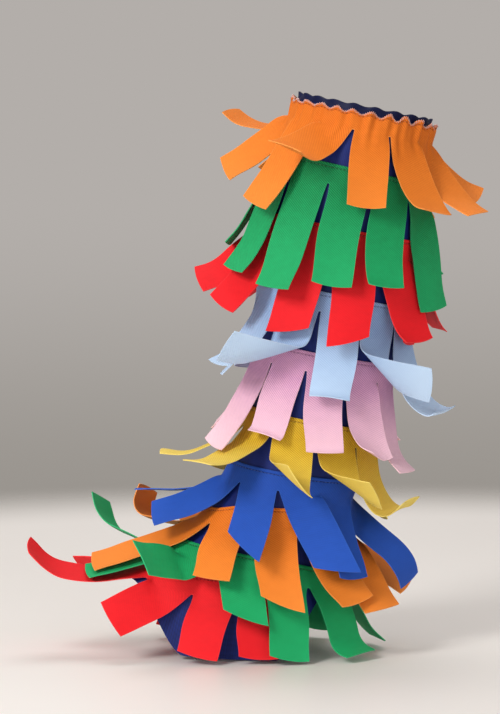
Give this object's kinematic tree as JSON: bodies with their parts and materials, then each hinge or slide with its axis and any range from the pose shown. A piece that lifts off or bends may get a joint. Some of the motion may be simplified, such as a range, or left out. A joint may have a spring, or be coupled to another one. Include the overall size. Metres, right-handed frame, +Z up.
{
  "type": "pinata costume leg cover",
  "caption": "Knit leg cover with bands of bright cut fringe, worn from below the knee down over the shoe, open at the top and at the foot.",
  "frame": {"origin": "middle of the gathered opening under the knee, where the wearer's leg holds the cover up", "axes": "+Z up along the shin, -X toward the toes, -Y the side that the picture shows"},
  "size_m": [0.3757, 0.2131, 0.4572],
  "materials": {
    "knit": "matte",
    "orange": "matte",
    "green": "matte",
    "red": "matte",
    "light_blue": "matte",
    "pink": "matte",
    "yellow": "matte",
    "royal_blue": "matte"
  },
  "bodies": {
    "root": {"leg_tube": "knit", "fringe_01_orange": "orange", "fringe_02_green": "green", "fringe_03_red": "red", "fringe_04_light_blue": "light_blue", "fringe_05_pink": "pink", "fringe_06_yellow": "yellow", "fringe_07_royal_blue": "royal_blue", "fringe_08_orange": "orange", "fringe_09_green": "green", "fringe_10_red": "red"}
  },
  "joints": []
}
